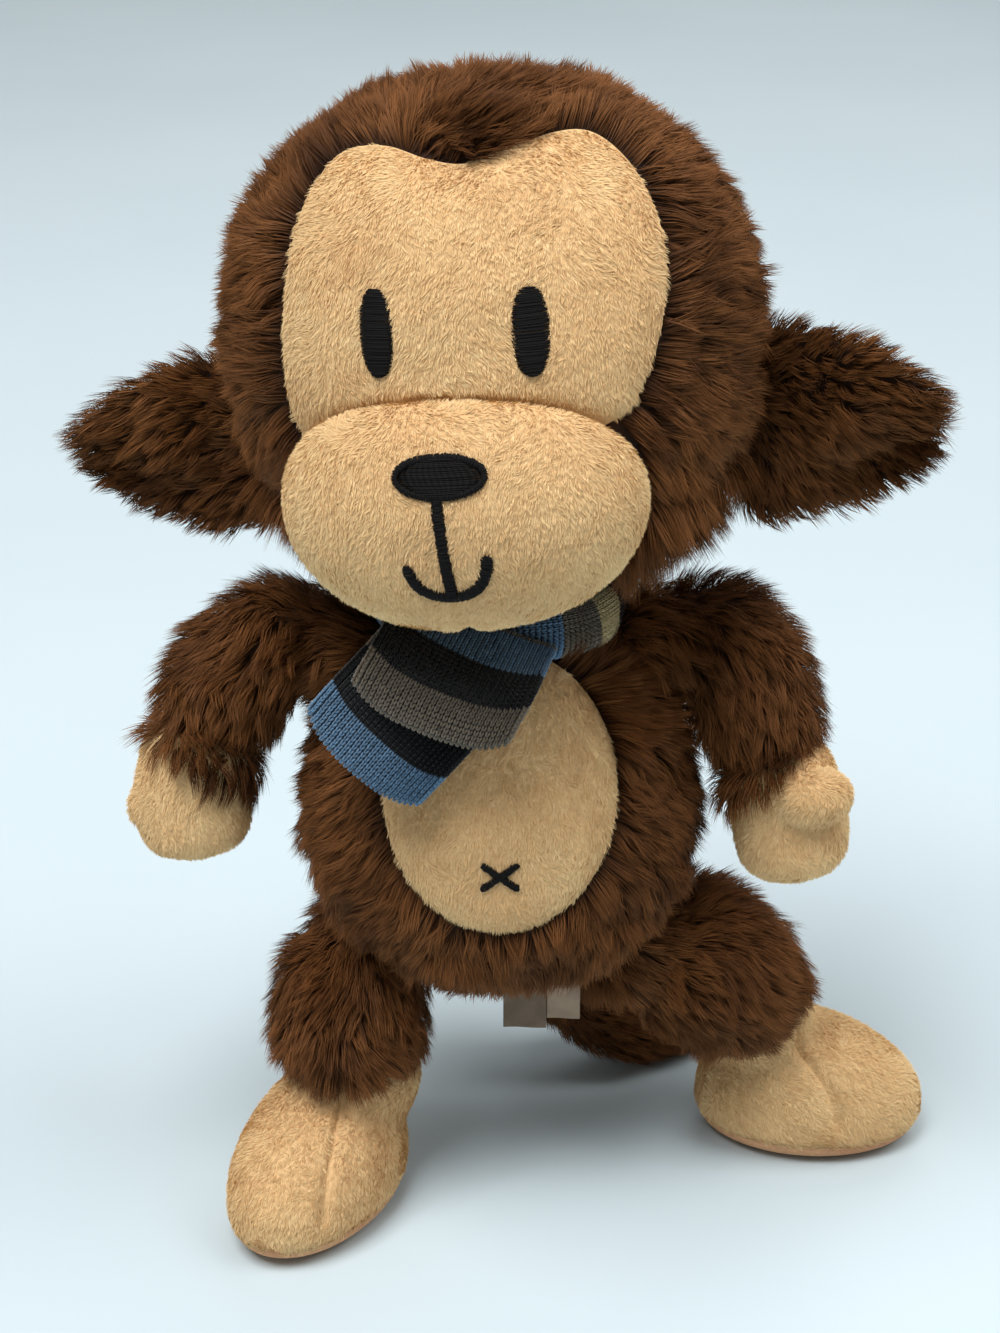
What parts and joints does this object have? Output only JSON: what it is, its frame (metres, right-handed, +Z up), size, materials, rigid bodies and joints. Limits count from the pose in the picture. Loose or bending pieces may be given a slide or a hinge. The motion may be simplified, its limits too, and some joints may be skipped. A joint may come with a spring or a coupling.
{
  "type": "plush monkey",
  "caption": "Stuffed monkey toy standing on soft feet, with long brown fur, a tan face and belly, cupped side ears, a tail and a striped knitted scarf; head, ears, limbs and tail turn.",
  "frame": {"origin": "on the floor under the middle of the standing toy's box", "axes": "+Z up, -Y the way the toy faces, +X towards the toy's own left"},
  "size_m": [0.2556, 0.182, 0.3452],
  "materials": {
    "fur": "long pile",
    "short_pile": "short pile",
    "thread": "satin stitch",
    "knit": "striped fine knit",
    "label": "woven ribbon"
  },
  "bodies": {
    "torso": {"torso_fur": "fur", "belly_panel": "short_pile", "navel_stitch": "thread", "scarf_wrap": "knit"},
    "neck": {"neck": "fur"},
    "head": {"head_fur": "fur", "face_panel": "short_pile", "muzzle_panel": "short_pile", "nose": "thread", "mouth": "thread", "eye_left": "thread", "eye_right": "thread"},
    "ear_left": {"ear_left_front": "fur", "ear_left_back": "fur"},
    "ear_right": {"ear_right_front": "fur", "ear_right_back": "fur"},
    "arm_left": {"arm_left_fur": "fur", "hand_left": "short_pile"},
    "arm_right": {"arm_right_fur": "fur", "hand_right": "short_pile"},
    "leg_left": {"leg_left_fur": "fur", "foot_left_upper": "short_pile", "foot_left_sole": "short_pile"},
    "leg_right": {"leg_right_fur": "fur", "foot_right_upper": "short_pile", "foot_right_sole": "short_pile"},
    "tail": {"tail_fur": "fur"},
    "scarf_ends": {"scarf_front_end": "knit", "scarf_back_end": "knit"},
    "labels": {"care_label": "label", "size_label": "label"}
  },
  "joints": [
    {"name": "head_nod", "type": "hinge", "parent": "torso", "child": "neck", "pos_m": [-0.0065, 0.0003, 0.188], "axis": [1, 0, 0], "range_deg": [-10, 3]},
    {"name": "head_turn", "type": "hinge", "parent": "neck", "child": "head", "pos_m": [-0.0065, 0.0003, 0.188], "axis": [0, 0, 1], "range_deg": [-35, 35]},
    {"name": "ear_left_fold", "type": "hinge", "parent": "head", "child": "ear_left", "pos_m": [0.0645, -0.0117, 0.2493], "axis": [-0.0865, 0.0106, 0.9962], "range_deg": [-25, 25], "stiffness_Nm_per_rad": 0.02},
    {"name": "ear_right_fold", "type": "hinge", "parent": "head", "child": "ear_right", "pos_m": [-0.0758, 0.0056, 0.2369], "axis": [-0.0865, 0.0106, 0.9962], "range_deg": [-25, 25], "stiffness_Nm_per_rad": 0.02},
    {"name": "arm_left_swing", "type": "hinge", "parent": "torso", "child": "arm_left", "pos_m": [0.0426, 0.0003, 0.179], "axis": [-1, 0, 0], "range_deg": [-40, 90]},
    {"name": "arm_right_swing", "type": "hinge", "parent": "torso", "child": "arm_right", "pos_m": [-0.0556, 0.0003, 0.179], "axis": [-1, 0, 0], "range_deg": [-40, 90]},
    {"name": "leg_left_swing", "type": "hinge", "parent": "torso", "child": "leg_left", "pos_m": [0.0375, -0.0027, 0.081], "axis": [-1, 0, 0], "range_deg": [-5, 60]},
    {"name": "leg_right_swing", "type": "hinge", "parent": "torso", "child": "leg_right", "pos_m": [-0.0505, -0.0027, 0.081], "axis": [-1, 0, 0], "range_deg": [-25, 60]},
    {"name": "tail_lift", "type": "hinge", "parent": "torso", "child": "tail", "pos_m": [-0.0065, 0.0479, 0.09], "axis": [1, 0, 0], "range_deg": [0, 50]},
    {"name": "scarf_ends_lift", "type": "hinge", "parent": "torso", "child": "scarf_ends", "pos_m": [-0.0165, -0.0412, 0.2], "axis": [-1, 0, 0], "range_deg": [0, 45]},
    {"name": "label_flap", "type": "hinge", "parent": "torso", "child": "labels", "pos_m": [0.0055, -0.0137, 0.0685], "axis": [1, 0, 0], "range_deg": [-35, 35]}
  ]
}
